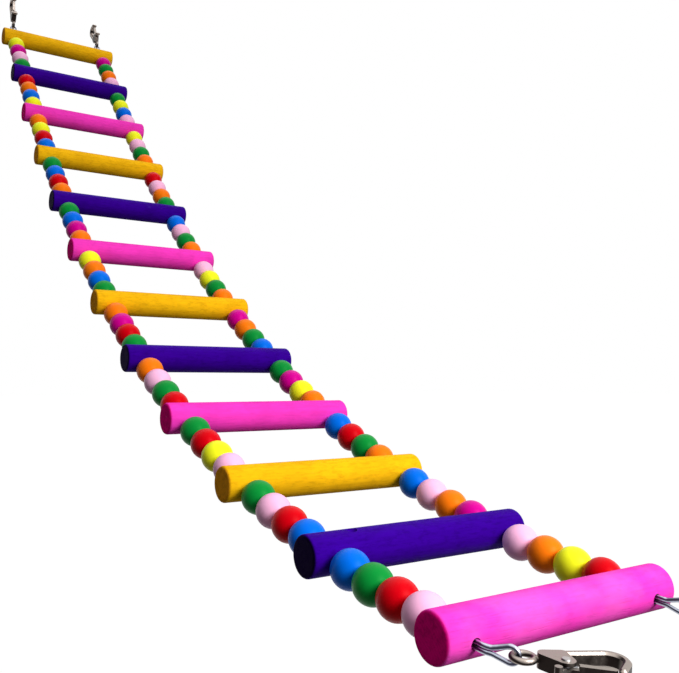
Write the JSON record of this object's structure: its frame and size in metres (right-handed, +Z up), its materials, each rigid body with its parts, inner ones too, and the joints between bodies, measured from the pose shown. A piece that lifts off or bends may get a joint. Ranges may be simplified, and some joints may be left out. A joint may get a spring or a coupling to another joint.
{
  "type": "bird ladder",
  "caption": "Flexible hanging ladder for birds: dyed wooden rungs on two side wires, lacquered wooden beads between the rungs and a sprung clasp at each corner.",
  "frame": {"origin": "midway between the two upper wire eyes, at the middle of the wire where the clasps hang on it", "axes": "+X from the upper end towards the lower end, +Y across the rungs to the right for someone who faces the lower end and looks up the ladder, +Z up"},
  "size_m": [0.6697, 0.1098, 0.4377],
  "materials": {
    "rung_yellow": "dyed hardwood, matt, straight faint grain",
    "rung_purple": "dyed hardwood, matt, straight faint grain",
    "rung_pink": "dyed hardwood, matt, straight faint grain",
    "bead_red": "turned wood, glossy opaque lacquer",
    "bead_green": "turned wood, glossy opaque lacquer",
    "bead_blue": "turned wood, glossy opaque lacquer",
    "bead_yellow": "turned wood, glossy opaque lacquer",
    "bead_pink": "turned wood, glossy opaque lacquer",
    "bead_orange": "turned wood, glossy opaque lacquer",
    "bead_magenta": "turned wood, glossy opaque lacquer",
    "side_wire": "drawn galvanised steel wire, satin",
    "clasp_metal": "nickel-plated die-cast zinc, polished",
    "trigger_metal": "nickel-plated, polished",
    "rivet_metal": "steel, satin",
    "spring_steel": "spring wire, bright"
  },
  "bodies": {
    "ladder": {"rung_1": "rung_yellow", "rung_2": "rung_purple", "rung_3": "rung_pink", "rung_4": "rung_yellow", "rung_5": "rung_purple", "rung_6": "rung_pink", "rung_7": "rung_yellow", "rung_8": "rung_purple", "rung_9": "rung_pink", "rung_10": "rung_yellow", "rung_11": "rung_purple", "rung_12": "rung_pink", "left_side_wire": "side_wire", "right_side_wire": "side_wire", "left_beads_red": "bead_red", "left_beads_green": "bead_green", "left_beads_blue": "bead_blue", "left_beads_yellow": "bead_yellow", "left_beads_pink": "bead_pink", "left_beads_orange": "bead_orange", "left_beads_magenta": "bead_magenta", "right_beads_red": "bead_red", "right_beads_green": "bead_green", "right_beads_blue": "bead_blue", "right_beads_yellow": "bead_yellow", "right_beads_pink": "bead_pink", "right_beads_orange": "bead_orange", "right_beads_magenta": "bead_magenta"},
    "upper_left_clasp": {"upper_left_clasp": "clasp_metal", "upper_left_rivet": "rivet_metal", "upper_left_spring": "spring_steel"},
    "upper_left_trigger": {"upper_left_trigger": "trigger_metal"},
    "upper_right_clasp": {"upper_right_clasp": "clasp_metal", "upper_right_rivet": "rivet_metal", "upper_right_spring": "spring_steel"},
    "upper_right_trigger": {"upper_right_trigger": "trigger_metal"},
    "lower_left_clasp": {"lower_left_clasp": "clasp_metal", "lower_left_rivet": "rivet_metal", "lower_left_spring": "spring_steel"},
    "lower_left_trigger": {"lower_left_trigger": "trigger_metal"},
    "lower_right_clasp": {"lower_right_clasp": "clasp_metal", "lower_right_rivet": "rivet_metal", "lower_right_spring": "spring_steel"},
    "lower_right_trigger": {"lower_right_trigger": "trigger_metal"}
  },
  "joints": [
    {"name": "upper_left_swing", "type": "hinge", "parent": "ladder", "child": "upper_left_clasp", "pos_m": [0, -0.0392, 0], "axis": [0, 1, 0], "range_deg": [-106, 65]},
    {"name": "upper_left_open", "type": "hinge", "parent": "upper_left_clasp", "child": "upper_left_trigger", "pos_m": [0.00156, -0.0392, 0.01178], "axis": [0, -1, 0], "range_deg": [0, 26], "stiffness_Nm_per_rad": 0.002, "springref_deg": -22.92},
    {"name": "upper_right_swing", "type": "hinge", "parent": "ladder", "child": "upper_right_clasp", "pos_m": [0, 0.0392, 0], "axis": [0, 1, 0], "range_deg": [-83, 88]},
    {"name": "upper_right_open", "type": "hinge", "parent": "upper_right_clasp", "child": "upper_right_trigger", "pos_m": [-0.00317, 0.0392, 0.01145], "axis": [0, -1, 0], "range_deg": [0, 26], "stiffness_Nm_per_rad": 0.002, "springref_deg": -22.92},
    {"name": "lower_left_swing", "type": "hinge", "parent": "ladder", "child": "lower_left_clasp", "pos_m": [0.62711, -0.03548, -0.40482], "axis": [0.0872, 0, 0.9962], "range_deg": [-103, 55]},
    {"name": "lower_left_open", "type": "hinge", "parent": "lower_left_clasp", "child": "lower_left_trigger", "pos_m": [0.63733, -0.02947, -0.40571], "axis": [0.0872, 0, 0.9962], "range_deg": [0, 26], "stiffness_Nm_per_rad": 0.002, "springref_deg": -22.92},
    {"name": "lower_right_swing", "type": "hinge", "parent": "ladder", "child": "lower_right_clasp", "pos_m": [0.62652, 0.04171, -0.40477], "axis": [0.0872, 0, 0.9962], "range_deg": [-106, 70]},
    {"name": "lower_right_open", "type": "hinge", "parent": "lower_right_clasp", "child": "lower_right_trigger", "pos_m": [0.63793, 0.04486, -0.40576], "axis": [0.0872, 0, 0.9962], "range_deg": [0, 26], "stiffness_Nm_per_rad": 0.002, "springref_deg": -22.92}
  ]
}
